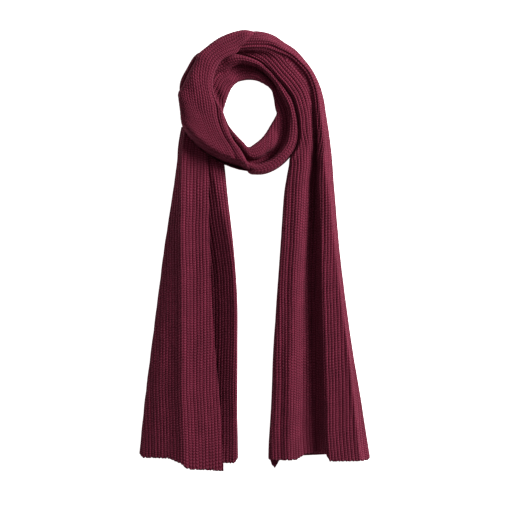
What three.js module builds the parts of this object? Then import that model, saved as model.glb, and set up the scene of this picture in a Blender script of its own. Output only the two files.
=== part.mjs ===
// A rib-knit scarf laid flat: wrapped once round a neck opening, its two folded ends laid down below.
// Millimetres, +Z up. The floor is z = 0, +Y runs from the hems to the top of the loop.
import * as THREE from 'three';

// Driving sizes of the knit
const WALL = 4;              // thickness of one layer of the knit
const RIB_RAISE = 1.1;       // how far a rib stands above the groove beside it
const SEAM_GAP = 0.4;        // air left between neighbouring stretches
const LAYER_GAP = 0.8;       // air between two layers of one folded end
const LAYER_GROOVE = 1.6;    // depth of the groove between two layers at a rounded side
const SIDE_INSET = 3.5;      // how far the flat underside stays inside the outline
const EDGE_SHARE = 0.42;     // height at which a rounded side is widest, as a share of the crest
const ROUNDNESS = 2.5;       // power of the rounded top: 2 is an ellipse, more is boxier
const TIGHT_TURN = 0.35;     // sine of a turn between points past which no rib is raised
const ROLL_POINTS = 24;       // points over one rounded roll before they are spaced evenly
const THINNEST = 3;          // least cloth left between a top and the stretch beneath it
const REST_REACH = 8;        // how far round a point the height beneath is looked up
const REST_CELL = 2;         // cell of that look-up
const TAIL_TOP_L = 186.4;    // where the left end starts, hidden under the front turn
const TAIL_TOP_R = 128;      // seam between the turn over the shoulder and the right end

// Stretches that pass round the neck opening. Each row is one section across the stretch:
// outer point x, y, inner point x, y, then the fractions across at which the outer roll ends and the
// inner one starts, the height of the outer roll, of the valley between them and of the inner roll.
const INNER_TURN = [
  [-109, 187, -48, 187, 0.48, 0.52, 15, 13, 14],
  [-110, 215, -46, 211, 0.48, 0.52, 15, 13, 14],
  [-111, 250, -42.5, 224, 0.48, 0.52, 15, 13, 15],
  [-102.5, 274.5, -39.5, 233, 0.48, 0.52, 15, 13, 16],
  [-86.5, 296, -35.5, 242, 0.56, 0.6, 15, 12, 16],
  [-62, 301, -30, 250, 0.62, 0.66, 17, 11, 15],
  [-43, 298, -22, 255, 0.52, 0.56, 20, 10, 15],
  [-22, 294, -11, 257, 0.38, 0.43, 22, 10, 17],
  [-5, 289, -1, 256.5, 0.36, 0.42, 23, 10, 18],
  [10, 281.5, 8, 254, 0.38, 0.45, 24, 10, 17],
  [22, 271, 17, 249, 0.42, 0.5, 25, 10, 15],
  [33.5, 258.5, 25, 242, 0.46, 0.58, 25, 9, 12],
  [43, 245, 28, 232, 0.47, 0.64, 26, 7, 10],
  [53, 237, 30, 221, 0.46, 0.7, 26, 6, 10],
  [59, 226.5, 31.5, 212, 0.45, 0.74, 26, 5.5, 9.5],
  [62.5, 211.5, 33, 206, 0.44, 0.78, 26, 5.5, 9],
  [66.5, 193.5, 28.5, 197, 0.43, 0.78, 26, 5.5, 9.5],
  [67.5, 175, 22.5, 187, 0.41, 0.74, 26, 5.5, 12],
  [64, 156, 16.5, 177, 0.4, 0.62, 26, 5.5, 17],
  [53, 139.5, 10, 169, 0.38, 0.53, 26, 5.5, 20],
  [37, 125, 3, 163, 0.37, 0.51, 26, 5.5, 22],
  [19, 116, -3, 158.5, 0.37, 0.51, 26, 5.5, 23],
  [2, 114, -9.5, 156, 0.38, 0.5, 25, 6, 23],
  [-9, 117, -18, 162, 0.4, 0.47, 20, 9, 22],
  [-20, 136, -28, 172.5, 0.4, 0.44, 16, 11, 19],
  [-32, 155, -37.5, 187, 0.4, 0.44, 14, 11, 16],
];

// The stretch on top at the left. The same columns, and after the points the bow of the section,
// which is how far its middle lies towards the hem.
const FRONT_TURN = [
  [-107, 181.5, -7.5, 118.5, 13, 0.85, 0.87, 34, 31, 32],
  [-108.5, 193, -12, 131, 10.5, 0.85, 0.87, 42, 37, 39],
  [-110, 208, -22, 149, 7.5, 0.85, 0.87, 42, 37, 39],
  [-111.5, 221, -32, 166, 4.5, 0.84, 0.86, 42, 36, 39],
  [-112.5, 235, -42, 189, 2, 0.83, 0.85, 42, 35, 38],
  [-108, 245, -47.5, 208.5, 1, 0.85, 0.87, 42, 35, 37],
  [-102, 257, -56.5, 224, 0, 0.87, 0.89, 42, 35, 36],
  [-96, 269, -62, 241, 0, 0.89, 0.91, 41, 35, 35],
  [-89, 282, -61.5, 257, 0, 0.89, 0.91, 40, 34, 34],
  [-82, 293, -57, 271.5, 0, 0.89, 0.91, 39, 33, 33],
  [-71, 305, -49, 283.5, 0, 0.89, 0.91, 37, 31, 31],
  [-57, 317, -37, 290.5, 0, 0.89, 0.91, 35, 29, 29],
  [-40, 325.5, -26.5, 295, 0, 0.89, 0.91, 33, 27, 27],
  [-22, 329, -19, 300, 0, 0.89, 0.91, 32, 25, 25],
  [-7, 330, -13.5, 304, 0, 0.89, 0.91, 32, 24, 24],
  [7, 328.5, -3, 309, 0, 0.89, 0.91, 32, 24, 24],
  [16, 325.5, 6, 313, 0, 0.89, 0.91, 31, 24, 24],
  [25, 321, 16.5, 315, 0, 0.89, 0.91, 29, 24, 24],
];

// Right side, from under the front turn over the shoulder and down to the hem: inner point x, y,
// outer point x, y, the fractions across of the inner fold's edge, of the outer fold's foot and
// of its crest, then the heights of inner fold, its edge, the valley and the crest.
const RIGHT_SIDE = [
  [-25, 297.5, -19, 314, 0.12, 0.2, 0.55, 12, 11, 10, 18],
  [-14.5, 295, -4, 317, 0.16, 0.24, 0.57, 15, 13, 11, 22],
  [-3, 290.5, 9.5, 318.5, 0.26, 0.34, 0.62, 18, 15, 13, 26],
  [11.5, 283.5, 27, 319.5, 0.4, 0.46, 0.7, 22, 17, 14, 29],
  [23.5, 272.5, 44, 311.5, 0.52, 0.58, 0.78, 25, 19, 14, 30],
  [35, 260, 60, 300.5, 0.6, 0.66, 0.82, 26, 20, 14, 30],
  [45, 247, 74, 285, 0.66, 0.72, 0.86, 27, 21, 14, 30],
  [55, 238.5, 86, 269, 0.69, 0.75, 0.88, 27, 22, 13, 29],
  [61, 227.5, 95.5, 249.5, 0.66, 0.74, 0.87, 27, 22, 13, 28],
  [65, 212, 103, 229, 0.61, 0.71, 0.86, 27, 22, 12, 28],
  [68.7, 194, 107.5, 204, 0.55, 0.68, 0.85, 27, 22, 11, 28],
  [69.7, 175, 112, 178, 0.5, 0.66, 0.85, 27, 22, 10, 28],
  [66, 155, 115, 154, 0.5, 0.67, 0.86, 27, 22, 9.5, 28],
  [55.5, 139.5, 116.5, 140, 0.51, 0.69, 0.87, 27, 22, 9.5, 28],
  [51.5, 128, 117.5, 128, 0.52, 0.71, 0.88, 27, 22, 9.5, 28],
  [48, 106, 119, 106, 0.52, 0.69, 0.9, 27, 21, 9.5, 28],
  [44, 76, 121.5, 76, 0.51, 0.7, 0.92, 27, 21, 9.5, 28],
  [39, 1, 128, 1, 0.48, 0.67, 0.93, 27, 21, 9.5, 28],
  [33, -74, 137, -74, 0.45, 0.64, 0.92, 27, 20, 9.5, 28],
  [28, -149, 147.5, -149, 0.43, 0.62, 0.915, 27, 20, 9.5, 28],
  [25, -224, 160, -224, 0.4, 0.59, 0.9, 26, 19, 9.5, 27],
  [21.5, -284, 168, -284, 0.393, 0.585, 0.888, 25, 18, 9.5, 26],
  [20.5, -314, 171.5, -314, 0.394, 0.581, 0.887, 24, 17, 9.5, 25],
];
const RIGHT_SEAM_ROW = 14;

// Left end: y, x of its left fold, of its crest, of the free edge lying on top and of its right
// fold, then the heights of the crest and of the free edge.
const LEFT_END = [
  [186.4, -109, -102, -73, -49, 16, 15.5],
  [158, -112.5, -106, -71, -48.5, 19, 17.5],
  [128, -116, -109, -69, -46.5, 22, 20],
  [76, -124, -110, -67.5, -40.5, 26, 23],
  [1, -135, -110, -65, -31, 28, 24],
  [-74, -145, -109.5, -62, -26, 29, 24],
  [-149, -154.5, -109, -58, -26, 30, 24],
  [-224, -163.5, -108, -52, -26.5, 30, 23],
  [-284, -170, -106.5, -48, -26, 29, 22],
  [-314, -171.5, -105.5, -46, -25.5, 28, 21],
];

// Hems: x and how far the hem lies above or below the last row, left end first. The lower layers
// have their own line.
const LEFT_HEM = [[-172.5, 5], [-128, 2], [-106, -9], [-98, -14], [-72, -15.5], [-46, -16.5]];
const LEFT_LOWER_HEM = [[-172.5, 3], [-60, -3], [-25.5, -3]];
const RIGHT_HEM = [[20, -1], [74, -1], [80, 9.5], [106, 9.5], [114, 0], [173, 1]];
const RIGHT_LOWER_HEM = [[20, -2], [33, -11], [44, -2], [173, 0]];
const HEM_REACH = 60;        // length over which a hem's own line fades into the rows above

const COLOURS = { left_tail: 0x6b2438, inner_turn: 0x74283e, front_turn: 0x6f263b,
  over_turn: 0x7a2a42, right_tail: 0x7d2c44 };

// Catmull-Rom value between b and c
function blend(a, b, c, d, t) {
  const t2 = t * t;
  const t3 = t2 * t;
  return 0.5 * (2 * b + (c - a) * t + (2 * a - 5 * b + 4 * c - d) * t2
    + (3 * b - a - 3 * c + d) * t3);
}

// Rows of a table with the given number of steps in every interval
function smoothRows(table, steps) {
  const rows = [];
  const last = table.length - 1;
  for (let i = 0; i < last; i += 1) {
    const before = table[Math.max(i - 1, 0)];
    const after = table[Math.min(i + 2, last)];
    for (let k = 0; k < steps; k += 1) {
      rows.push(table[i].map((v, c) => blend(before[c], v, table[i + 1][c], after[c], k / steps)));
    }
  }
  rows.push(table[last].slice());
  return rows;
}

// Straight-line value of a table of [x, value] pairs
function along(pairs, x) {
  if (x <= pairs[0][0]) return pairs[0][1];
  for (let i = 1; i < pairs.length; i += 1) {
    const [x0, v0] = pairs[i - 1];
    const [x1, v1] = pairs[i];
    if (x <= x1) return v0 + (v1 - v0) * (x - x0) / (x1 - x0);
  }
  return pairs[pairs.length - 1][1];
}

// Smooth curve through a few points [a, z], cut into short pieces
function curve(knots, pieces = 8) {
  return smoothRows(knots, pieces);
}

// The curve's own points moved to equal distances along it
function evenly(points, count) {
  const run = [0];
  for (let i = 1; i < points.length; i += 1) {
    run.push(run[i - 1] + Math.hypot(points[i][0] - points[i - 1][0], points[i][1] - points[i - 1][1]));
  }
  const total = run[run.length - 1];
  const out = [];
  let i = 1;
  for (let k = 0; k <= count; k += 1) {
    const want = total * k / count;
    while (i < points.length - 1 && run[i] < want) i += 1;
    const t = (want - run[i - 1]) / Math.max(run[i] - run[i - 1], 1e-9);
    out.push([0, 1].map((c) => points[i - 1][c] + (points[i][c] - points[i - 1][c]) * Math.min(t, 1)));
  }
  return out;
}

// Left-hand normal of an open polyline at each of its points
function normals(points) {
  return points.map((p, i) => {
    const a = points[Math.max(i - 1, 0)];
    const b = points[Math.min(i + 1, points.length - 1)];
    const length = Math.hypot(b[0] - a[0], b[1] - a[1]) || 1;
    return [-(b[1] - a[1]) / length, (b[0] - a[0]) / length];
  });
}

// Ribs: every second point raised along the normal, none at the two ends or down in a tight valley
function ribbed(points, raise) {
  const side = normals(points);
  return points.map(([a, z], i) => {
    if (i % 2 === 0 || i === points.length - 1) return [a, z];
    const turn = side[i - 1][0] * side[i + 1][1] - side[i - 1][1] * side[i + 1][0];
    const up = turn * Math.sign(raise) > TIGHT_TURN ? 0 : raise;
    return [a + side[i][0] * up, z + side[i][1] * up];
  });
}

// Closed body from sections with equal numbers of points, the ends triangulated from flat copies
function loft(name, sections, flats) {
  const ring = sections[0].length;
  const position = sections.flat().flat();
  const index = [];
  for (let r = 0; r < sections.length - 1; r += 1) {
    for (let i = 0; i < ring; i += 1) {
      const a = r * ring + i;
      const b = r * ring + (i + 1) % ring;
      index.push(a, b, a + ring, b, b + ring, a + ring);
    }
  }
  const ends = [[flats[0], 0, true], [flats[1], (sections.length - 1) * ring, false]];
  for (const [flat, start, flip] of ends) {
    const contour = flat.map(([a, z]) => new THREE.Vector2(a, z));
    const area = THREE.ShapeUtils.area(contour);
    for (const [a, b, c] of THREE.ShapeUtils.triangulateShape(contour, [])) {
      const turned = (area > 0) !== flip;
      index.push(start + a, start + (turned ? b : c), start + (turned ? c : b));
    }
  }
  const geometry = new THREE.BufferGeometry();
  geometry.setAttribute('position', new THREE.Float32BufferAttribute(position, 3));
  geometry.setIndex(facingOut(position, index));
  geometry.computeVertexNormals();
  const material = new THREE.MeshStandardMaterial({ color: COLOURS[name], roughness: 0.95 });
  const mesh = new THREE.Mesh(geometry, material);
  mesh.name = name;
  return mesh;
}

// The same triangles, turned round where the body would be inside out
function facingOut(position, index) {
  let volume = 0;
  for (let i = 0; i < index.length; i += 3) {
    const [a, b, c] = [0, 1, 2].map((k) => new THREE.Vector3().fromArray(position, 3 * index[i + k]));
    volume += a.dot(b.cross(c));
  }
  if (volume >= 0) return index;
  const turned = [];
  for (let i = 0; i < index.length; i += 3) turned.push(index[i], index[i + 2], index[i + 1]);
  return turned;
}

// Height map of stretches already laid down, so that a later one can rest on them
function heightsOf(meshes) {
  const cells = new Map();
  const key = (x, y) => `${Math.round(x / REST_CELL)},${Math.round(y / REST_CELL)}`;
  for (const { geometry } of meshes) {
    const p = geometry.attributes.position;
    const index = geometry.index.array;
    for (let i = 0; i < index.length; i += 3) {
      const [a, b, c] = [0, 1, 2].map((k) => new THREE.Vector3().fromBufferAttribute(p, index[i + k]));
      const n = Math.ceil(Math.max(a.distanceTo(b), b.distanceTo(c), c.distanceTo(a)) / REST_CELL) + 1;
      for (let u = 0; u <= n; u += 1) {
        for (let v = 0; v <= n - u; v += 1) {
          const w = n - u - v;
          const q = [0, 1, 2].map((k) => (a.getComponent(k) * u + b.getComponent(k) * v
            + c.getComponent(k) * w) / n);
          const at = key(q[0], q[1]);
          cells.set(at, Math.max(cells.get(at) || 0, q[2]));
        }
      }
    }
  }
  return (x, y) => {
    let top = 0;
    for (let dx = -REST_REACH; dx <= REST_REACH; dx += REST_CELL) {
      for (let dy = -REST_REACH; dy <= REST_REACH; dy += REST_CELL) {
        if (Math.hypot(dx, dy) <= REST_REACH) top = Math.max(top, cells.get(key(x + dx, y + dy)) || 0);
      }
    }
    return top > 0 ? top + SEAM_GAP : 0;
  };
}
const onFloor = () => 0;

// Rolled stretch: a rounded top in rolls, grooved sides where its layers show, a resting underside.
// across() gives a plan point for a fraction across, profile the top as [distance, height] points.
function rolledSection(width, across, profile, ribs, beneath, floorPoints) {
  const inset = Math.min(SIDE_INSET, width / 5);
  const groove = Math.min(LAYER_GROOVE, inset / 2);
  const rest = (d) => beneath(...across(Math.min(Math.max(d, 0), width) / width));
  const peak = Math.max(...profile.map(([, z]) => z));
  const lifted = profile.map(([d, z]) => {
    const base = Math.max(rest(d - inset), rest(d), rest(d + inset));
    return [d, base + Math.max(z * (1 - base / peak), THINNEST)];
  });
  const top = ribbed(evenly(lifted, 2 * ribs), RIB_RAISE);
  const under = [];
  for (let k = 0; k <= floorPoints; k += 1) {
    const d = width - inset - (width - 2 * inset) * k / floorPoints;
    under.push([d, rest(d)]);
  }
  const sideDown = ([d, from], to, out) => [[d - out * groove, from + (to - from) * 0.35],
    [d, from + (to - from) * 0.7]];
  const right = sideDown(top[top.length - 1], under[0][1], 1);
  const left = sideDown(top[0], under[floorPoints][1], -1).reverse();
  const flat = [...top, ...right, ...under, ...left];
  return { flat, solid: flat.map(([d, z]) => [...across(d / width), z]) };
}

// Top of two rolls side by side with a valley between them, from the outer side to the inner one
function rollProfile(width, outerEnd, innerStart, outer, valley, inner) {
  const rolls = [[0, outerEnd, outer, outer * EDGE_SHARE, valley],
    [innerStart, 1, inner, valley, inner * EDGE_SHARE]];
  const points = [];
  for (const [from, to, crest, firstFoot, lastFoot] of rolls) {
    for (let k = 0; k <= ROLL_POINTS; k += 1) {
      const u = k / ROLL_POINTS;
      const arch = (1 - Math.abs(2 * u - 1) ** ROUNDNESS) ** (1 / ROUNDNESS);
      const foot = u < 0.5 ? firstFoot : lastFoot;
      points.push([(from + (to - from) * u) * width, foot + (crest - foot) * arch]);
    }
  }
  return points;
}

function ringStretch(name, table, steps, ribs, bowed, beneath, floorPoints) {
  const built = smoothRows(table, steps).map((row) => {
    const [xo, yo, xi, yi] = row;
    const bow = bowed ? row[4] : 0;
    const rolls = row.slice(bowed ? 5 : 4);
    const width = Math.hypot(xi - xo, yi - yo);
    const side = [(yi - yo) / width, -(xi - xo) / width];
    const across = (s) => {
      const belly = bow * 4 * s * (1 - s);
      return [xo + (xi - xo) * s + side[0] * belly, yo + (yi - yo) * s + side[1] * belly];
    };
    return rolledSection(width, across, rollProfile(width, ...rolls), ribs, beneath, floorPoints);
  });
  return loft(name, built.map((b) => b.solid), [built[0].flat, built[built.length - 1].flat]);
}

// Top line across the right side, as [distance, height] knots from the inner to the outer edge
function rightTop(width, lip, rise, crest, zInner, zLip, zValley, zCrest) {
  const foot = rise - lip;
  return [[0, zInner * 0.5], [0.035, zInner * 0.82], [0.12, zInner * 0.97], [lip * 0.6, zInner],
    [lip * 0.93, zLip * 1.05], [lip, zLip * 0.6 + zValley * 0.4], [lip + foot * 0.35, zValley + 0.5],
    [lip + foot * 0.65, zValley + 1], [rise + foot * 0.15, (zValley + zCrest) / 2],
    [rise * 0.45 + crest * 0.55, zCrest * 0.96], [crest, zCrest], [crest * 0.4 + 0.6, zCrest * 0.8],
    [1, zCrest * 0.42]].map(([share, z]) => [share * width, z]);
}

function overTurn(steps, ribs, floorPoints) {
  const rows = smoothRows(RIGHT_SIDE.slice(0, RIGHT_SEAM_ROW + 2), steps)
    .slice(0, RIGHT_SEAM_ROW * steps + 1);
  const built = rows.map((row, i) => {
    const [xi, yi, xo, yo, lip, rise, crest, ...heights] = row;
    const width = Math.hypot(xo - xi, yo - yi);
    const drop = i === rows.length - 1 ? SEAM_GAP : 0;
    const across = (s) => [xi + (xo - xi) * s, yi + (yo - yi) * s + drop];
    const early = curve(rightTop(width, Math.max(lip, 0.3), Math.max(rise, 0.38), crest, ...heights));
    return rolledSection(width, across, early, ribs, onFloor, floorPoints);
  });
  return loft('over_turn', built.map((b) => b.solid), [built[0].flat, built[built.length - 1].flat]);
}

// Folded wall: its middle line as knots [x, z], the outer side ribbed where it shows, the inner plain
function wallSection(parts, innerCount) {
  const middle = [];
  for (const { knots } of parts) middle.push(...(middle.length ? knots.slice(1) : knots));
  const whole = curve(middle, 6);
  const marks = [];
  let knot = 0;
  for (const { knots } of parts) {
    const next = knot + knots.length - 1;
    marks.push([knot * 6, next * 6]);
    knot = next;
  }
  const outer = [];
  parts.forEach(({ columns, ribs }, i) => {
    const piece = evenly(whole.slice(marks[i][0], marks[i][1] + 1), columns);
    const line = ribs ? ribbed(piece, -RIB_RAISE) : piece;
    const side = normals(piece);
    line.forEach(([x, z], k) => {
      if (i > 0 && k === 0) return;
      outer.push([x - side[k][0] * WALL / 2, Math.max(z - side[k][1] * WALL / 2, 0)]);
    });
  });
  const plain = evenly(whole, innerCount);
  const side = normals(plain);
  const inner = plain.map(([x, z], k) => [x + side[k][0] * WALL / 2, z + side[k][1] * WALL / 2]);
  return [...outer, ...inner.reverse()];
}

// Folded end: sections along y, with the hem's own line over the last stretch
function foldedEnd(name, rows, section, hem, lowerHem) {
  const lastY = rows[rows.length - 1].y;
  const solids = rows.map((row) => {
    const fade = Math.max(0, 1 - (row.y - lastY) / HEM_REACH);
    return section(row).map(([x, z]) => {
      const line = z < 2.2 * WALL ? lowerHem : hem;
      return [x, row.y + along(line, x) * fade * fade, z];
    });
  });
  const flats = [section(rows[0]), section(rows[rows.length - 1])];
  return loft(name, solids, flats);
}

// Left end: the free edge lies on top, the cloth runs over the crest, round the left fold, back
// along the floor, round the right fold and in again under the top layer
function leftSection({ left, crest, lip, right, zCrest, zLip }) {
  const half = WALL / 2;
  const second = WALL + LAYER_GAP + half;
  const slope = crest - left;
  const top = [[lip, zLip - half], [lip - 6, zLip - half + 0.5],
    [(lip + crest) / 2, (zLip + zCrest) / 2 - half - 1.5], [crest + 8, zCrest - half - 1],
    [crest, zCrest - half], [crest - slope * 0.3, zCrest * 0.82 - half],
    [left + slope * 0.25 + half + 0.5, zCrest * 0.5], [left + half, zCrest * 0.28],
    [left + half + 4, half]];
  const floor = [top[top.length - 1], [(left + right) / 2, half], [right - half - 4, half]];
  const back = [floor[2], [right - half, (half + second) / 2], [right - half - 4, second]];
  const flap = [back[2], [(right + lip) / 2, second + 1], [lip - 4, second + 1.5], [crest + 12, second]];
  return wallSection([{ knots: top, columns: 60, ribs: true }, { knots: floor, columns: 8 },
    { knots: back, columns: 4 }, { knots: flap, columns: 14, ribs: true }], 40);
}

function leftEnd(steps) {
  const rows = smoothRows(LEFT_END, steps).map(([y, left, crest, lip, right, zCrest, zLip]) => (
    { y, left, crest, lip, right, zCrest, zLip }));
  rows[0].y = TAIL_TOP_L;
  return foldedEnd('left_tail', rows, leftSection, LEFT_HEM, LEFT_LOWER_HEM);
}

// Right end: a flap hidden on the floor layer, round the left fold, over both folds of the top with
// the valley between them, round the right fold and back along the floor
function rightSection({ left, width, lip, rise, crest, heights }) {
  const half = WALL / 2;
  const [zInner, zLip, zValley, zCrest] = heights;
  const second = WALL + LAYER_GAP + half;
  const lowered = rightTop(width, lip, rise, crest, zInner, zLip, zValley, zCrest)
    .map(([d, z]) => [left + d, z - half]);
  const over = lowered.slice(2, -1).reverse();
  const right = left + width;
  const start = [[left + 4, half], [(left + right) / 2, half], [right - half - 5, half]];
  const rising = [start[2], [right - half, half + 5], [right - half - width * 0.04, zCrest * 0.55]];
  const top = [rising[2], ...over];
  const turn = [top[top.length - 1], [left + half + 2, zInner * 0.75], [left + half, zInner * 0.5],
    [left + half + 2.5, second + 1.5], [left + half + 9, second]];
  const flap = [turn[4], [left + 24, second]];
  return wallSection([{ knots: start, columns: 8 }, { knots: rising, columns: 6 },
    { knots: top, columns: 64, ribs: true }, { knots: turn, columns: 8 }, { knots: flap, columns: 3 }],
  46);
}

function rightEnd(steps) {
  const table = RIGHT_SIDE.slice(RIGHT_SEAM_ROW - 1);
  const rows = smoothRows(table, steps).slice(steps).map((row) => (
    { y: row[1], left: row[0], width: row[2] - row[0], lip: row[4], rise: row[5], crest: row[6],
      heights: row.slice(7) }));
  rows[0].y = TAIL_TOP_R;
  return foldedEnd('right_tail', rows, rightSection, RIGHT_HEM, RIGHT_LOWER_HEM);
}

const leftTail = leftEnd(1);
const innerTurn = ringStretch('inner_turn', INNER_TURN, 2, 10, false, onFloor, 4);
const overTurnBody = overTurn(2, 18, 5);
const frontTurn = ringStretch('front_turn', FRONT_TURN, 2, 15, true,
  heightsOf([leftTail, innerTurn, overTurnBody]), 9);
const rightTail = rightEnd(1);

// The origin goes under the middle of the whole scarf
const scarf = new THREE.Group();
scarf.name = 'knit_scarf';
scarf.add(leftTail, innerTurn, frontTurn, overTurnBody, rightTail);
const box = new THREE.Box3().setFromObject(scarf);
const middle = box.getCenter(new THREE.Vector3());
for (const mesh of scarf.children) mesh.geometry.translate(-middle.x, -middle.y, -box.min.z);

export default scarf;
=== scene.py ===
"""Rib-knit scarf laid flat: one strip wrapped once round a neck opening, its folded ends side by side.

Metres, +Z up, the floor at z = 0. +Y runs from the hems to the top of the loop.
"""

import bpy
import numpy as np
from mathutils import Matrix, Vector
from mathutils.bvhtree import BVHTree


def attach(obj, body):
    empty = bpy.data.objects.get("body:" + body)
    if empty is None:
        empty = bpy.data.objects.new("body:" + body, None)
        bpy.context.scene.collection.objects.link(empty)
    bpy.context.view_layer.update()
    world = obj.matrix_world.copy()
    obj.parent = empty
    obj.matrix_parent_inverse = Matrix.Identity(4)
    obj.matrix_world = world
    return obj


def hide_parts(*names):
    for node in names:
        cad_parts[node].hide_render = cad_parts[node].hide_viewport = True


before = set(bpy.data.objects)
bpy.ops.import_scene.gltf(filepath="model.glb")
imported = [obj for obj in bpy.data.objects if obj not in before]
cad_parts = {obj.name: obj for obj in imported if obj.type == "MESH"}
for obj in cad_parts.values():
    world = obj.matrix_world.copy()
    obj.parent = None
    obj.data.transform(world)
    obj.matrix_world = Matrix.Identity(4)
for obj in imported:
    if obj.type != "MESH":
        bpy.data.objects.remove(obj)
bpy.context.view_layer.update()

bl_info = {
    "name": "Rib-knit scarf",
    "version": (1, 0, 0),
    "blender": (4, 5, 0),
    "location": "3D View > Sidebar > Scarf",
    "description": "Builds a folded rib-knit scarf around its packed solids",
    "category": "Object",
}

# The origin lies under the middle of the whole scarf, this far from the tables' own origin
ORIGIN_SHIFT = np.array((0.00093, -0.00023))

# Plan point under the middle of the photo's frame
PHOTO_CENTRE = (0.0032, -0.0085)

# Middle of the softbox, low at the upper right, so that folds shade what lies to their left
KEY_PLACE = (1.55, 0.92, 1.00)

# Form of the folded knit
COLUMN_STEP = 0.0007      # distance between points across the ribs
ROW_STEP = 0.0027         # distance between points along the ribs
ROUNDNESS = 2.5           # power of a rolled top: 2 is an ellipse, more is boxier
EDGE_SHARE = 0.42         # height at which a rolled side is widest, as a share of its crest
SIDE_INSET = 0.0035       # how far the flat underside stays inside the outline
LAYER_GROOVE = 0.0016     # depth of the groove between two layers at a rolled side
THINNEST = 0.003          # least cloth between a rolled top and what it rests on
LAYER_GAP = 0.0008        # air between two layers of a folded end
FOOT_FADE = 0.004         # length over which ribs fade out above the flat underside
VALLEY_BLUR = 0.0016      # how softly a valley between two rolls is rounded
HEM_REACH = 0.060         # length over which a hem's own line fades into the rows above
HEM_ROUND = 0.0020        # length over which the cast-off edge is rounded
SCALLOP = 0.0016          # how far each rib stands out at the hem
UNDER_POINTS = 10         # points across a flat underside
INNER_SHARE = 5           # outer columns for each column of a plain inner side
CURVE_PIECES = 8          # straight pieces between two knots of an outline
OUTLINE_FINE = 30         # points between two rows of a table where its length is measured
ROLL_POINTS = 25          # points of the arch of one roll
REST_SAMPLES = 17         # points across where a section feels what lies beneath it
FOLD_SIDE = 0.006         # how far a folded section's flat underside stays inside its outline
FOLD_SIDE_SHARE = 0.12    # the most that this may be of a narrow section's width
TOP_FADE = 0.006          # length across over which the top layer's hem gives way to the lower one
SCALLOP_REACH = 0.006     # length over which the scallops of a hem fade into the rows above
SCALLOP_MIDDLE = 0.4      # part of a scallop that lies inside the hem's own line
FLOOR_CLEAR = 0.0005      # height above the floor at which a fold's ribs start
FLOOR_FADE = 0.003        # height over which they then grow
HEM_STEPS = (0.1, 0.3, 0.6)     # extra sections at a rounded hem, as shares of HEM_ROUND
END_STEPS = (0.0003, 0.0008, 0.0016, 0.0030, 0.0045)    # extra sections at a rounded end
END_LEAST = 0.12          # least height of a rounded end, as a share of its full height

# How the ribs and stitches vary
RIB_DRIFT = 0.0010        # how far the ribs wander sideways
DRIFT_LENGTHS = (0.23, 0.11, 0.05)      # lengths of the waves in which they wander
RIB_UNEVEN = 0.10         # how much the ribs differ in width and in depth
RIB_POWER = 0.8           # power of a rib's round top: less makes a narrower groove
COURSE_DRIFT = 0.004      # how far the stitches wander along the ribs
COURSE_LEAD = 0.35        # how far one rib's stitches are ahead of the next one's, in stitches

# Looks of the yarn, and the shade and highlight painted into its colour
TOP_HIGHLIGHT_COLOUR = (0.270, 0.078, 0.122, 1.0)    # painted highlight: paler colour on the tops of the stitches
TOP_HIGHLIGHT_SHARE = 0.26         # how much of the painted highlight the highest points get
GAP_SHADE = 0.74          # share of the painted groove shade in the gaps between stitches
GROOVE_SHADE = 0.62       # share of the painted groove shade in the grooves between ribs
SHADE_SCALE = 42.0        # slow changes of shade, to a metre
SHADE_RANGE = (0.93, 1.07)
FIBRE_SCALE = 1900.0      # fibres to a metre
FIBRE_RANGE = (0.80, 1.22)
STREAK_STRETCH = (0.9, 0.06, 0.0)       # streaks are this fine across and along the ribs
STREAK_RANGE = (0.88, 1.12)
ROUGHNESS_RANGE = (0.82, 0.98)
FIBRE_HEIGHT = 0.35       # height of a fibre beside that of a stitch
BUMP_STRENGTH = 0.75
BUMP_DISTANCE = 0.0016
HALF_WAVE = 3.14159       # half a sine wave goes on one stitch
SHEEN_TINT = (0.95, 0.28, 0.42, 1.0)

# Stage
WHITE = (1.0, 1.0, 1.0, 1.0)
FLOOR_HALF = 3.0          # half of the floor's side
FLOOR_DROP = 0.0004       # how far it lies under the scarf
SOFTBOX_SIZE = 0.8

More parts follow.
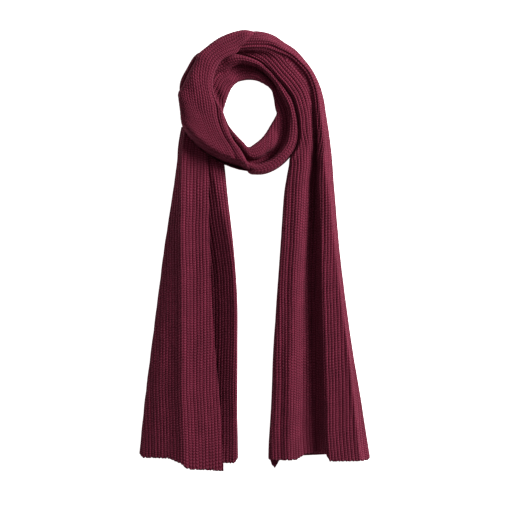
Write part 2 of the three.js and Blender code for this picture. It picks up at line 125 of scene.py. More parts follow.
# One row is one section across the turn: outer point x, y, inner point x, y, the shares across at
# which the outer roll ends and the inner one starts, the heights of the outer roll, of the valley
# and of the inner roll, and the share across at which the same rib always lies.
INNER_TURN = (
    (-0.1090, 0.1870, -0.0480, 0.1870, 0.48, 0.52, 0.0150, 0.0130, 0.0140, 0.5),
    (-0.1100, 0.2150, -0.0460, 0.2110, 0.48, 0.52, 0.0150, 0.0130, 0.0140, 0.5),
    (-0.1132, 0.2500, -0.0425, 0.2240, 0.48, 0.52, 0.0150, 0.0130, 0.0150, 0.5),
    (-0.1025, 0.2745, -0.0395, 0.2330, 0.48, 0.52, 0.0150, 0.0130, 0.0150, 0.5),
    (-0.0872, 0.2966, -0.0355, 0.2420, 0.56, 0.6, 0.0150, 0.0120, 0.0130, 0.5),
    (-0.0620, 0.3010, -0.0300, 0.2500, 0.62, 0.66, 0.0170, 0.0110, 0.0120, 0.46),
    (-0.0430, 0.2980, -0.0220, 0.2550, 0.52, 0.56, 0.0220, 0.0075, 0.0095, 0.36),
    (-0.0220, 0.2940, -0.0110, 0.2570, 0.38, 0.43, 0.0245, 0.0075, 0.0100, 0.27),
    (-0.0050, 0.2890, -0.0010, 0.2565, 0.36, 0.42, 0.0255, 0.0080, 0.0130, 0.26),
    (0.0100, 0.2815, 0.0080, 0.2540, 0.38, 0.45, 0.0255, 0.0085, 0.0150, 0.25),
    (0.0220, 0.2710, 0.0170, 0.2490, 0.42, 0.5, 0.0250, 0.0100, 0.0150, 0.25),
    (0.0335, 0.2585, 0.0250, 0.2420, 0.46, 0.58, 0.0250, 0.0090, 0.0120, 0.25),
    (0.0425, 0.2480, 0.0280, 0.2320, 0.47, 0.64, 0.0260, 0.0125, 0.0130, 0.26),
    (0.0505, 0.2378, 0.0300, 0.2210, 0.46, 0.7, 0.0260, 0.0125, 0.0130, 0.27),
    (0.0580, 0.2262, 0.0315, 0.2120, 0.45, 0.74, 0.0260, 0.0125, 0.0130, 0.27),
    (0.0625, 0.2115, 0.0330, 0.2060, 0.44, 0.78, 0.0260, 0.0125, 0.0130, 0.27),
    (0.0665, 0.1935, 0.0285, 0.1970, 0.43, 0.78, 0.0260, 0.0125, 0.0130, 0.25),
    (0.0675, 0.1750, 0.0225, 0.1870, 0.41, 0.74, 0.0260, 0.0125, 0.0130, 0.24),
    (0.0640, 0.1560, 0.0165, 0.1770, 0.4, 0.62, 0.0260, 0.0125, 0.0170, 0.22),
    (0.0530, 0.1395, 0.0100, 0.1690, 0.38, 0.53, 0.0260, 0.0095, 0.0200, 0.21),
    (0.0370, 0.1250, 0.0030, 0.1630, 0.36, 0.54, 0.0260, 0.0040, 0.0220, 0.2),
    (0.0190, 0.1160, -0.0030, 0.1585, 0.36, 0.54, 0.0260, 0.0040, 0.0230, 0.2),
    (0.0020, 0.1140, -0.0095, 0.1560, 0.37, 0.53, 0.0250, 0.0040, 0.0230, 0.2),
    (-0.0090, 0.1170, -0.0165, 0.1634, 0.4, 0.47, 0.0200, 0.0090, 0.0220, 0.22),
    (-0.0200, 0.1360, -0.0266, 0.1738, 0.4, 0.44, 0.0160, 0.0110, 0.0190, 0.25),
    (-0.0320, 0.1550, -0.0375, 0.1870, 0.4, 0.44, 0.0140, 0.0110, 0.0160, 0.3),
    (-0.0400, 0.1660, -0.0430, 0.1985, 0.4, 0.44, 0.0130, 0.0110, 0.0150, 0.35),
    (-0.0460, 0.1820, -0.0465, 0.2080, 0.4, 0.44, 0.0120, 0.0100, 0.0130, 0.35),
)

# The same columns, with the bow of the section after its points: how far its middle lies
# towards the hems.
FRONT_TURN = (
    (-0.1070, 0.1815, -0.0060, 0.1175, 0.0130, 0.85, 0.87, 0.0340, 0.0310, 0.0320, 0.83),
    (-0.1100, 0.1930, -0.0105, 0.1315, 0.0105, 0.85, 0.87, 0.0420, 0.0370, 0.0390, 0.76),
    (-0.1115, 0.2080, -0.0200, 0.1490, 0.0075, 0.85, 0.87, 0.0420, 0.0370, 0.0390, 0.7),
    (-0.1132, 0.2210, -0.0320, 0.1660, 0.0045, 0.84, 0.86, 0.0420, 0.0360, 0.0390, 0.67),
    (-0.1143, 0.2350, -0.0420, 0.1890, 0.0020, 0.83, 0.85, 0.0420, 0.0350, 0.0380, 0.64),
    (-0.1080, 0.2450, -0.0475, 0.2085, 0.0010, 0.85, 0.87, 0.0420, 0.0350, 0.0370, 0.61),
    (-0.1020, 0.2570, -0.0565, 0.2240, 0.0000, 0.87, 0.89, 0.0420, 0.0350, 0.0360, 0.61),
    (-0.0960, 0.2690, -0.0620, 0.2410, 0.0000, 0.89, 0.91, 0.0410, 0.0350, 0.0350, 0.57),
    (-0.0890, 0.2820, -0.0615, 0.2570, 0.0000, 0.89, 0.91, 0.0400, 0.0340, 0.0340, 0.51),
    (-0.0835, 0.2942, -0.0570, 0.2715, 0.0000, 0.89, 0.91, 0.0390, 0.0330, 0.0330, 0.46),
    (-0.0710, 0.3050, -0.0490, 0.2835, 0.0000, 0.89, 0.91, 0.0370, 0.0310, 0.0310, 0.44),
    (-0.0570, 0.3170, -0.0370, 0.2905, 0.0000, 0.89, 0.91, 0.0350, 0.0290, 0.0290, 0.47),
    (-0.0400, 0.3255, -0.0265, 0.2950, 0.0000, 0.89, 0.91, 0.0330, 0.0270, 0.0270, 0.5),
    (-0.0220, 0.3305, -0.0203, 0.3038, 0.0000, 0.89, 0.91, 0.0320, 0.0250, 0.0250, 0.48),
    (-0.0080, 0.3307, -0.0143, 0.3098, 0.0000, 0.89, 0.91, 0.0320, 0.0240, 0.0240, 0.42),
    (0.0050, 0.3268, -0.0068, 0.3158, 0.0000, 0.89, 0.91, 0.0320, 0.0240, 0.0240, 0.38),
)

# Inner point x, y, outer point x, y, shares across of the inner fold's edge, of the outer fold's
# foot and of its crest, heights of the inner fold, of its edge, of the valley and of the crest.
RIGHT_SIDE = (
    (-0.0300, 0.2960, -0.0260, 0.3170, 0.12, 0.2, 0.55, 0.0120, 0.0198, 0.0200, 0.0240),
    (-0.0165, 0.2950, -0.0050, 0.3288, 0.16, 0.24, 0.57, 0.0150, 0.0228, 0.0230, 0.0270),
    (-0.0030, 0.2905, 0.0110, 0.3290, 0.26, 0.34, 0.62, 0.0185, 0.0248, 0.0250, 0.0290),
    (0.0115, 0.2835, 0.0285, 0.3240, 0.4, 0.46, 0.7, 0.0220, 0.0263, 0.0265, 0.0300),
    (0.0235, 0.2725, 0.0450, 0.3129, 0.52, 0.58, 0.76, 0.0250, 0.0268, 0.0270, 0.0310),
    (0.0350, 0.2600, 0.0617, 0.3021, 0.62, 0.68, 0.79, 0.0275, 0.0258, 0.0260, 0.0305),
    (0.0445, 0.2500, 0.0758, 0.2865, 0.67, 0.73, 0.83, 0.0285, 0.0250, 0.0254, 0.0300),
    (0.0525, 0.2395, 0.0879, 0.2702, 0.69, 0.745, 0.845, 0.0285, 0.0250, 0.0256, 0.0300),
    (0.0600, 0.2275, 0.0976, 0.2504, 0.65, 0.705, 0.82, 0.0285, 0.0248, 0.0254, 0.0300),
    (0.0650, 0.2120, 0.1040, 0.2293, 0.595, 0.655, 0.785, 0.0285, 0.0243, 0.0248, 0.0303),
    (0.0687, 0.1940, 0.1080, 0.2040, 0.53, 0.598, 0.765, 0.0285, 0.0225, 0.0230, 0.0320),
    (0.0697, 0.1750, 0.1120, 0.1780, 0.49, 0.57, 0.76, 0.0285, 0.0220, 0.0190, 0.0325),
    (0.0660, 0.1550, 0.1150, 0.1540, 0.505, 0.585, 0.77, 0.0285, 0.0220, 0.0140, 0.0330),
    (0.0555, 0.1395, 0.1165, 0.1400, 0.55, 0.64, 0.79, 0.0285, 0.0220, 0.0105, 0.0325),
    (0.0515, 0.1280, 0.1175, 0.1280, 0.55, 0.67, 0.81, 0.0285, 0.0220, 0.0090, 0.0325),
    (0.0474, 0.1060, 0.1190, 0.1060, 0.525, 0.67, 0.84, 0.0285, 0.0210, 0.0088, 0.0335),
    (0.0434, 0.0760, 0.1215, 0.0760, 0.51, 0.68, 0.87, 0.0285, 0.0210, 0.0088, 0.0335),
    (0.0382, 0.0010, 0.1280, 0.0010, 0.442, 0.665, 0.9, 0.0285, 0.0210, 0.0088, 0.0335),
    (0.0330, -0.0740, 0.1370, -0.0740, 0.4, 0.64, 0.91, 0.0285, 0.0200, 0.0088, 0.0335),
    (0.0280, -0.1490, 0.1475, -0.1490, 0.38, 0.62, 0.915, 0.0285, 0.0200, 0.0088, 0.0335),
    (0.0250, -0.2240, 0.1600, -0.2240, 0.35, 0.59, 0.89, 0.0275, 0.0190, 0.0088, 0.0325),
    (0.0215, -0.2840, 0.1690, -0.2840, 0.345, 0.58, 0.872, 0.0265, 0.0180, 0.0088, 0.0315),
    (0.0205, -0.3140, 0.1738, -0.3140, 0.347, 0.576, 0.887, 0.0255, 0.0170, 0.0088, 0.0305),
)

SHOULDER_ROW = 10         # row from which the inner fold's ribs run on straight to the hem
SHOULDER_END = 14         # row from which the inner fold no longer lies on the turn beside it
SHOULDER_LAP = 0.0035     # how far the inner fold lies over the turn beside it

# y, then x of the left fold, of the crest, of the free edge on top and of the right fold, and the
# heights of the crest, of the free edge and of the rim at the right fold, and the rim's width.
LEFT_END = (
    (0.1864, -0.1105, -0.1030, -0.0730, -0.0490, 0.0160, 0.0155, 0.0120, 0.0120),
    (0.1580, -0.1156, -0.1075, -0.0710, -0.0485, 0.0190, 0.0175, 0.0150, 0.0140),
    (0.1280, -0.1178, -0.1095, -0.0690, -0.0458, 0.0220, 0.0200, 0.0180, 0.0150),
    (0.0760, -0.1251, -0.1100, -0.0685, -0.0398, 0.0260, 0.0230, 0.0220, 0.0090),
    (0.0010, -0.1361, -0.1100, -0.0665, -0.0310, 0.0280, 0.0240, 0.0260, 0.0010),
    (-0.0740, -0.1453, -0.1095, -0.0640, -0.0260, 0.0290, 0.0240, 0.0265, 0.0005),
    (-0.1490, -0.1545, -0.1090, -0.0588, -0.0260, 0.0300, 0.0240, 0.0260, 0.0005),
    (-0.2240, -0.1635, -0.1080, -0.0520, -0.0265, 0.0300, 0.0230, 0.0240, 0.0005),
    (-0.2840, -0.1693, -0.1065, -0.0480, -0.0260, 0.0290, 0.0220, 0.0190, 0.0010),
    (-0.3140, -0.1715, -0.1055, -0.0460, -0.0255, 0.0280, 0.0210, 0.0160, 0.0015),
)

RIM_EDGE = 0.002          # how far the rim's top stays inside its own width
RIM_FALL = 0.037          # length over which the under layer falls from its rim
RIM_FALL_SHARE = 0.7      # the most that this may be of the room up to the crest
UNDER_CREST = 0.012       # how far beside the crest the under layer ends

# x of a point on the hem and how far it lies above or below the last row
LEFT_HEM = ((-0.1725, 0.0020), (-0.1500, 0.0026), (-0.1280, 0.0025), (-0.1100, -0.0048),
            (-0.1020, -0.0109), (-0.0950, -0.0131), (-0.0720, -0.0144), (-0.0460, -0.0165))
LEFT_LOWER_HEM = ((-0.1725, 0.0070), (-0.0900, 0.0020), (-0.0450, -0.0052), (-0.0300, -0.0055),
                  (-0.0255, 0.0))
RIGHT_HEM = ((0.0200, 0.0005), (0.0640, 0.0006), (0.0790, 0.0088), (0.1055, 0.0104),
             (0.1115, -0.0008), (0.1730, 0.0004))
RIGHT_LOWER_HEM = ((0.0200, 0.0030), (0.0270, -0.0102), (0.0310, -0.0130), (0.0400, 0.0030),
                   (0.1500, 0.0080), (0.1730, 0.0040))


class ScarfKnit(bpy.types.PropertyGroup):
    """The knit and its yarn."""
    rib_pitch: bpy.props.FloatProperty(
        name="Rib pitch", description="Distance from one rib to the next", default=0.0050, unit='LENGTH')
    groove_depth: bpy.props.FloatProperty(
        name="Groove depth", description="Depth of the groove between two ribs", default=0.0010,
        unit='LENGTH')
    stitch_height: bpy.props.FloatProperty(
        name="Stitch height", description="Length of one stitch along a rib", default=0.0036,
        unit='LENGTH')
    wall: bpy.props.FloatProperty(
        name="Thickness", description="Thickness of one layer of the knit", default=0.0040,
        unit='LENGTH')
    yarn: bpy.props.FloatVectorProperty(
        name="Yarn", description="Colour of the yarn on the ribs", subtype='COLOR', size=3,
        min=0.0, max=1.0, default=(0.108, 0.0062, 0.0210))
    # Painted shade: the grooves and the gaps between stitches get this darker colour for the shade that
    # falls in them
    groove: bpy.props.FloatVectorProperty(
        name="Groove", description="Colour of the yarn down in the grooves", subtype='COLOR', size=3,
        min=0.0, max=1.0, default=(0.062, 0.0040, 0.0130))


class ScarfStage(bpy.types.PropertyGroup):
    """The floor, the lights and the camera."""
    floor: bpy.props.FloatVectorProperty(
        name="Floor", description="Colour of the pale floor", subtype='COLOR', size=3,
        min=0.0, max=1.0, default=(0.90, 0.90, 0.90))
    key_power: bpy.props.FloatProperty(
        name="Key light", description="Power of the softbox at the upper right", default=95.0,
        unit='POWER')
    sky: bpy.props.FloatProperty(
        name="Room light", description="Strength of the even light from the whole room", default=0.30)
    glow: bpy.props.FloatProperty(
        name="Floor glow", description="Strength of the light table's own light", default=0.95)
    camera_height: bpy.props.FloatProperty(
        name="Camera height", description="Height of the camera above the floor", default=2.150,
        unit='LENGTH')
    lens: bpy.props.FloatProperty(
        name="Lens", description="Focal length in millimetres", default=100.0)


def smooth_rows(table, places):
    """Rows of a table at fractional row numbers, on a Catmull-Rom curve through every column."""
    rows = np.array(table, dtype=float)
    last = len(rows) - 1
    i = np.clip(np.floor(places).astype(int), 0, last - 1)
    t = (places - i)[:, None]
    a, b, c, d = rows[np.maximum(i - 1, 0)], rows[i], rows[i + 1], rows[np.minimum(i + 2, last)]
    return 0.5 * (2 * b + (c - a) * t + (2 * a - 5 * b + 4 * c - d) * t ** 2
                  + (3 * b - a - 3 * c + d) * t ** 3)


def row_places(table, middle, extra=()):
    """Fractional row numbers about one row step apart, and how far along the stretch each one is.

    middle() gives the plan points of the stretch's middle from rows of the table. extra holds
    distances from the last row, for more sections near a rounded end.
    """
    fine = np.linspace(0, len(table) - 1, OUTLINE_FINE * (len(table) - 1) + 1)
    x, y = middle(smooth_rows(table, fine)).T
    run = np.concatenate(([0.0], np.cumsum(np.hypot(np.diff(x), np.diff(y)))))
    along = np.linspace(0.0, run[-1], int(np.ceil(run[-1] / ROW_STEP)) + 1)
    along = np.unique(np.concatenate((along, run[-1] - np.array(extra, dtype=float))))
    return np.interp(along, run, fine), along


def section_middles(rows):
    """Plan points half way between the two edges of each section."""
    return (rows[:, 0:2] + rows[:, 2:4]) / 2


def curve(knots):
    """Smooth curve through a few knots, as short straight pieces."""
    return smooth_rows(knots, np.linspace(0, len(knots) - 1, CURVE_PIECES * (len(knots) - 1) + 1))


def run_of(line):
    """Distance of every point of an open line from its start."""
    return np.concatenate(([0.0], np.cumsum(np.hypot(*np.diff(line, axis=0).T))))


def evenly(line, count):
    """The same line with count points at equal distances along it, and those distances."""
    run = run_of(line)
    want = np.linspace(0.0, run[-1], count)
    return np.column_stack([np.interp(want, run, line[:, k]) for k in (0, 1)]), want


def blurred(line, width, step):
    """An evenly spaced open line, smoothed over the given width, its ends kept."""
    half = max(1, int(round(width / step)))
    weights = np.hanning(2 * half + 3)[1:-1]
    padded = np.vstack([np.repeat(line[:1], half, 0), line, np.repeat(line[-1:], half, 0)])
    soft = np.column_stack([np.convolve(padded[:, k], weights / weights.sum(), 'valid') for k in (0, 1)])
    soft[0], soft[-1] = line[0], line[-1]
    return soft


def floor_rest(x, y):
    """A stretch that lies on the floor rests at height 0."""
    return np.zeros(np.shape(x))


def solid_rest(node):
    """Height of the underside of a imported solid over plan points, from rays sent up from below."""
    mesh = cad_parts[node].data
    tree = BVHTree.FromPolygons([v.co for v in mesh.vertices], [p.vertices for p in mesh.polygons])

    def rest(x, y):
        heights = []
        for px, py in zip(np.ravel(x) + ORIGIN_SHIFT[0], np.ravel(y) + ORIGIN_SHIFT[1]):
            hit = tree.ray_cast(Vector((px, py, -0.01)), Vector((0, 0, 1)))[0]
            heights.append(np.nan if hit is None else hit.z)
        heights = np.array(heights)
        seen = np.flatnonzero(~np.isnan(heights))
        if len(seen) == 0:
            return np.zeros(len(heights))
        return np.interp(np.arange(len(heights)), seen, heights[seen])
    return rest


def rolled_outline(width, rolls, rest):
    """Outline of a rolled section as (distance across, height), from the outer foot over the top to
    the inner foot, and the first and last of its points that belong to the top."""
    outer_end, inner_start, outer, valley, inner = rolls
    u = np.linspace(0.0, 1.0, ROLL_POINTS)
    arch = (1 - np.abs(2 * u - 1) ** ROUNDNESS) ** (1 / ROUNDNESS)
    top = []
    for start, end, crest, first, last in ((0.0, outer_end, outer, outer * EDGE_SHARE, valley),
                                           (inner_start, 1.0, inner, valley, inner * EDGE_SHARE)):
        foot = np.where(u < 0.5, first, last)
        top.append(np.column_stack(((start + (end - start) * u) * width, foot + (crest - foot) * arch)))
    top = np.vstack(top)
    base = np.maximum(rest(top[:, 0] - SIDE_INSET), rest(top[:, 0] + SIDE_INSET))
    top[:, 1] = base + np.maximum(top[:, 1] * (1 - base / max(outer, inner)), THINNEST)
    inset = min(SIDE_INSET, width / 5)
    groove = min(LAYER_GROOVE, inset / 2)

    def foot_points(edge, side):
        low, high = rest(np.array([edge[0] - side * inset]))[0], edge[1]
        across = edge[0] - side * np.array([inset, inset * 0.25, 0.0, groove, 0.0])
        return np.column_stack((across, low + (high - low) * np.array([0.0, 0.06, 0.3, 0.52, 0.8])))

    left = curve(foot_points(top[0], -1))
    right = curve(foot_points(top[-1], 1))[::-1]
    return np.vstack((left, top, right)), len(left), len(left) + len(top)


def rolled_turn(table, bowed, beneath, round_start=(0.0, 0.0), round_end=(0.0, 0.0)):
    """Sections of a rolled turn: its points with ribs still flat, the arc length across from the
    steady rib, the strength of the ribs, and the distance along. round_start and round_end say
    over what length an end is rounded down and how far it sinks into what it rests on. bowed is 1
    where the rows hold a bow, or else 0."""
    total = row_places(table, section_middles)[1][-1]
    near = np.array(END_STEPS)
    extra = np.concatenate((near * (round_end[0] > 0), (total - near) * (round_start[0] > 0)))
    places, along = row_places(table, section_middles, extra)
    rows = smooth_rows(table, places)
    widest = 0.0
    outlines = []
    for row in rows:
        outer, inner = row[0:2], row[2:4]
        bow = row[4] if bowed else 0.0
        rolls, steady = row[4 + bowed:9 + bowed], row[9 + bowed]
        width = np.hypot(*(inner - outer))
        side = np.array((inner[1] - outer[1], outer[0] - inner[0])) / width

        def across(d, outer=outer, inner=inner, width=width, side=side, bow=bow):
            s = np.clip(d / width, -0.2, 1.2)[:, None]
            return outer + (inner - outer) * s + side * bow * 4 * s * (1 - s)

        samples = np.linspace(0.0, width, REST_SAMPLES)
        plan = across(np.clip(samples, SIDE_INSET, width - SIDE_INSET))
        height = beneath(plan[:, 0], plan[:, 1])

        def rest(d, samples=samples, height=height):
            return np.interp(d, samples, height)

        line, first, last = rolled_outline(width, rolls, rest)
        steady_run = np.interp(steady * width, line[first:last, 0], run_of(line)[first:last])
        outlines.append((line, steady_run, across, rest, width))
        widest = max(widest, run_of(line)[-1])
    columns = int(np.ceil(widest / COLUMN_STEP)) + 1
    lines, arcs, strengths, unders = [], [], [], []
    for (line, steady_run, across, rest, width), s in zip(outlines, along):
        even, run = evenly(line, columns)
        even = blurred(even, VALLEY_BLUR, run[1])
        inset = min(SIDE_INSET, width / 5)
        under = np.linspace(width - inset, inset, UNDER_POINTS)[1:-1]
        grow, sink = 1.0, 0.0
        for gone, (reach, depth) in ((s, round_start), (along[-1] - s, round_end)):
            if gone < reach:
                grow = min(grow, max(np.sqrt(1 - (1 - gone / reach) ** 2), END_LEAST))
                sink = max(sink, depth * (1 - gone / reach) ** 2)
        base = rest(even[:, 0])
        base = base - np.minimum(sink, base)
        z = base + (even[:, 1] - base) * grow
        low = rest(under)
        low = low - np.minimum(sink, low)
        lines.append(np.column_stack((across(even[:, 0]), z)))
        unders.append(np.column_stack((across(under), low)))
        arcs.append(run - steady_run)
        strengths.append(np.clip(np.minimum(run, run[-1] - run) / FOOT_FADE, 0, 1) * grow)
    return np.array(lines), np.array(unders), np.array(arcs), np.array(strengths), along


def surface_normals(grid):
    """Unit normals of a grid of points, rows along the ribs."""
    across = np.gradient(grid, axis=1)
    along = np.gradient(grid, axis=0)
    normal = np.cross(across, along)
    normal /= np.maximum(np.linalg.norm(normal, axis=2, keepdims=True), 1e-12)
    return normal


def upward(normal, grid):
    """The normals turned round where the highest points of the grid would face down."""
    high = grid[..., 2] > np.percentile(grid[..., 2], 80)
    return normal if normal[..., 2][high].mean() > 0 else -normal


RIB_CHANCE = np.random.default_rng(11).normal(size=512)


def wander(along, seed, reach):
    """Small sideways drift of the ribs along a stretch, smooth and repeatable."""
    rng = np.random.default_rng(seed)
    drift = np.zeros(len(along))
    for length in DRIFT_LENGTHS:
        drift += np.sin(2 * np.pi * (along / length + rng.random())) * length
    return drift / sum(DRIFT_LENGTHS) * reach


def courses(phase, along, knit):
    """Stitch count along the ribs: each rib is a little ahead of or behind the next."""
    index = np.round(phase).astype(int) % len(RIB_CHANCE)
    slow = wander(along, 29, COURSE_DRIFT)[:, None]
    return (along[:, None] + slow) / knit.stitch_height + COURSE_LEAD * RIB_CHANCE[index - 7]


def uneven_ribs(phase):
    """The same phases with each rib a little wider or narrower than the next."""
    index = np.floor(phase).astype(int)
    part = phase - index
    before, after = (RIB_CHANCE[(index + k) % len(RIB_CHANCE)] for k in (0, 1))
    return phase + RIB_UNEVEN * (before * (1 - part) + after * part)


def rib_relief(phase, knit):
    """Depth of the surface below the crest of a rib, the crests at whole phases. Each rib differs
    a little from the next."""
    index = np.round(phase).astype(int) % len(RIB_CHANCE)
    uneven = 1 + RIB_UNEVEN * RIB_CHANCE[index]
    return knit.groove_depth * (1 - np.abs(np.cos(np.pi * phase)) ** RIB_POWER) * uneven


def apply_creases(grid, normal, creases):
    """Soft troughs and ridges placed one by one: x, y of both ends, half width and height."""
    for x0, y0, x1, y1, reach, height in creases:
        start, way = np.array((x0, y0)), np.array((x1 - x0, y1 - y0))
        plan = grid[..., :2] - start
        t = np.clip((plan @ way) / (way @ way), 0, 1)
        off = np.linalg.norm(plan - t[..., None] * way, axis=2)
        fade = np.sin(np.pi * np.clip(t, 0.04, 0.96)) ** 0.5
        amount = height * np.exp(-(off / reach) ** 2) * fade * np.clip(normal[..., 2], 0, 1)
        grid = grid + normal * amount[..., None]
    return grid


def closed_mesh(name, rings, uv, material, outer_count=0):
    """Closed body from rings of points, rows by columns. Its ends are closed by one flat face each,
    or for a folded wall, with outer_count points on its outer side, by small faces across the wall."""
    rows, ring = rings.shape[:2]
    points = rings.reshape(-1, 3).copy()
    points[:, :2] += ORIGIN_SHIFT
    points[:, 2] = np.maximum(points[:, 2], 0.0)
    r, c = np.meshgrid(np.arange(rows - 1), np.arange(ring), indexing='ij')
    nxt = (c + 1) % ring
    faces = np.stack((r * ring + c, r * ring + nxt, (r + 1) * ring + nxt, (r + 1) * ring + c), -1)
    faces = faces.reshape(-1, 4).tolist()
    ends = [list(range(ring))]
    if outer_count:
        ends = []
        for k in range(0, outer_count - 1, INNER_SHARE):
            inside = ring - 1 - k // INNER_SHARE
            ends.append(list(range(k, k + INNER_SHARE + 1)) + [inside - 1, inside])
    faces += [face[::-1] for face in ends]
    faces += [[(rows - 1) * ring + i for i in face] for face in ends]
    mesh = bpy.data.meshes.new(name)
    mesh.from_pydata(points.tolist(), [], faces)
    layer = mesh.uv_layers.new(name="Knit")
    corner = np.zeros(len(mesh.loops), dtype=np.int64)
    mesh.loops.foreach_get("vertex_index", corner)
    layer.data.foreach_set("uv", uv.reshape(-1, 2)[corner].ravel())
    volume = sum(p.center.dot(p.normal) * p.area for p in mesh.polygons)
    if volume < 0:
        mesh.flip_normals()
    mesh.polygons.foreach_set("use_smooth", [True] * len(mesh.polygons))
    mesh.materials.append(material)
    piece = bpy.data.objects.new(name, mesh)
    bpy.context.scene.collection.objects.link(piece)
    return piece


def build_rolled(name, turn, creases, seed, knit):
    """Ribbed body of a rolled turn over its flat underside."""
    lines, unders, arcs, strengths, along = turn
    phase = uneven_ribs((arcs + wander(along, seed, RIB_DRIFT)[:, None]) / knit.rib_pitch)
    normal = upward(surface_normals(lines), lines)
    lines = apply_creases(lines, normal, creases)
    normal = upward(surface_normals(lines), lines)
    lines = lines - normal * (rib_relief(phase, knit) * strengths)[..., None]
    count = unders.shape[1]
    back = phase[:, -1:] + (phase[:, :1] - phase[:, -1:]) * (np.arange(1, count + 1) / (count + 1))
    ribs = np.concatenate((phase, back), 1)
    uv = np.stack((ribs, courses(ribs, along, knit)), -1)
    return closed_mesh(name, np.concatenate((lines, unders), 1), uv, knit_material())


def hem_line(table, x):
    """How far the hem lies above or below the last row at x."""
    xs, offsets = zip(*table)
    return np.interp(x, xs, offsets)


def build_folded(name, sections, along, hem, lower_hem, creases, seed, knit):
    """Folded wall: ribbed outside, plain inside, rounded at the hem. Each section gives its outer
    line in plan and height, the run of its steady rib, a drift of the ribs across it, its place in
    plan and the runs between which it is the top layer."""
    longest = max(run_of(line)[-1] for line, *_ in sections)
    inner_count = int(np.ceil(longest / COLUMN_STEP / INNER_SHARE)) + 1
    columns = (inner_count - 1) * INNER_SHARE + 1
    outer, arcs, strengths, uppers = [], [], [], []
    for line, steady_run, drift, place, (first_top, last_top) in sections:
        even, run = evenly(line, columns)
        even = blurred(even, VALLEY_BLUR, run[1])
        outer.append(np.column_stack((place(even[:, 0]), even[:, 1])))
        arcs.append(run - steady_run + drift(run))
        strengths.append(np.clip((even[:, 1] - FLOOR_CLEAR) / FLOOR_FADE, 0, 1))
        uppers.append(np.clip((run - first_top) / TOP_FADE + 0.5, 0, 1)
                      * np.clip((last_top - run) / TOP_FADE + 0.5, 0, 1))
    outer, arcs, strengths = np.array(outer), np.array(arcs), np.array(strengths)
    upper = np.array(uppers)
    phase = uneven_ribs((arcs + wander(along, seed, RIB_DRIFT)[:, None]) / knit.rib_pitch)
    to_hem = along[-1] - along
    fade = np.clip(1 - to_hem / HEM_REACH, 0, 1)[:, None] ** 2
    line_y = hem_line(hem, outer[..., 0]) * upper + hem_line(lower_hem, outer[..., 0]) * (1 - upper)
    outer[..., 1] += line_y * fade
    near = np.clip(1 - to_hem / SCALLOP_REACH, 0, 1)[:, None]
    outer[..., 1] -= SCALLOP * (np.abs(np.cos(np.pi * phase)) - SCALLOP_MIDDLE) * near * strengths
    normal = upward(surface_normals(outer), outer)
    outer = apply_creases(outer, normal, creases)
    normal = upward(surface_normals(outer), outer)
    thin = 1 - np.sqrt(np.clip(1 - np.clip(1 - to_hem / HEM_ROUND, 0, 1) ** 2, 0.05, 1))
    thin = (thin * knit.wall * 0.5)[:, None]
    inner = (outer - normal * (knit.wall - thin)[..., None])[:, ::INNER_SHARE]
    outer = outer - normal * (rib_relief(phase, knit) * strengths + thin)[..., None]
    rings = np.concatenate((outer, inner[:, ::-1]), 1)
    ribs = np.concatenate((phase, phase[:, ::INNER_SHARE][:, ::-1]), 1)
    uv = np.stack((ribs, courses(ribs, along, knit)), -1)
    return closed_mesh(name, rings, uv, knit_material(), columns)


def right_sections(knit):
    """Outer lines of the right side: along the floor, round the right fold, over the outer and the
    inner fold of the top, and round the left fold into a short flap."""
    valley_knot, first_top_knot, inner_knot = 10, 4, 16
    places, along = row_places(RIGHT_SIDE, section_middles, HEM_ROUND * np.array(HEM_STEPS))
    rows = smooth_rows(RIGHT_SIDE, places)
    flap_z = knit.wall + LAYER_GAP
    built = []
    for row, place in zip(rows, places):
        inner, outer = row[0:2], row[2:4]
        lip, rise, crest, z_inner, z_lip, z_valley, z_crest = row[4:11]
        width = np.hypot(*(outer - inner))
        step = rise - lip
        beside = np.clip((SHOULDER_END - place) / 1.5, 0, 1)
        lap = SHOULDER_LAP * beside
        top = [(0.035, z_inner * (0.78 + 0.14 * beside)),
               (FOLD_SIDE_SHARE, z_inner * (0.89 + 0.09 * beside)), (lip * 0.6, z_inner),
               (lip * 0.88, z_lip), (lip + step * 0.05, z_lip * 0.3 + z_valley * 0.7),
               (lip + step * 0.38, z_valley), (lip + step * 0.7, z_valley + 0.0006),
               (rise, z_valley * 0.25 + z_crest * 0.75),
               (rise * 0.7 + crest * 0.3, z_crest * 0.93), (crest, z_crest),
               (crest * 0.5 + 0.5, z_crest * 0.76)]
        top = [(share * width - lap * (1 - min(share / FOLD_SIDE_SHARE, 1)), z)
               for share, z in top][::-1]
        side = min(FOLD_SIDE, width * FOLD_SIDE_SHARE)
        knots = [(side, 0.0), (width / 2, 0.0), (width - side, 0.0), (width - 0.001, 0.003),
                 (width, z_crest * 0.42)] + top
        knots += [(-lap, z_inner * 0.5), (side * 0.5, flap_z + 0.0012), (side * 1.5, flap_z),
                  (side * 3, flap_z)]
        line = curve(np.array(knots))
        run = run_of(line)[::CURVE_PIECES]
        built.append((line, run, inner, outer, width))
    reach = [run[inner_knot] - run[valley_knot] for _, run, *_ in built]
    shoulder = np.interp(SHOULDER_ROW, places, reach)
    sections = []
    for (line, run, inner, outer, width), own, place in zip(built, reach, places):
        steady, shift = run[valley_knot], (shoulder - own if place < SHOULDER_ROW else 0.0)

        def drift(run, steady=steady, shift=shift):
            return shift * np.clip((run - steady) / 0.006, 0, 1)

        def put(d, inner=inner, outer=outer, width=width):
            return inner + (outer - inner) * (d / width)[:, None]

        sections.append((line, steady, drift, put, (run[first_top_knot], run[inner_knot])))
    return sections, along


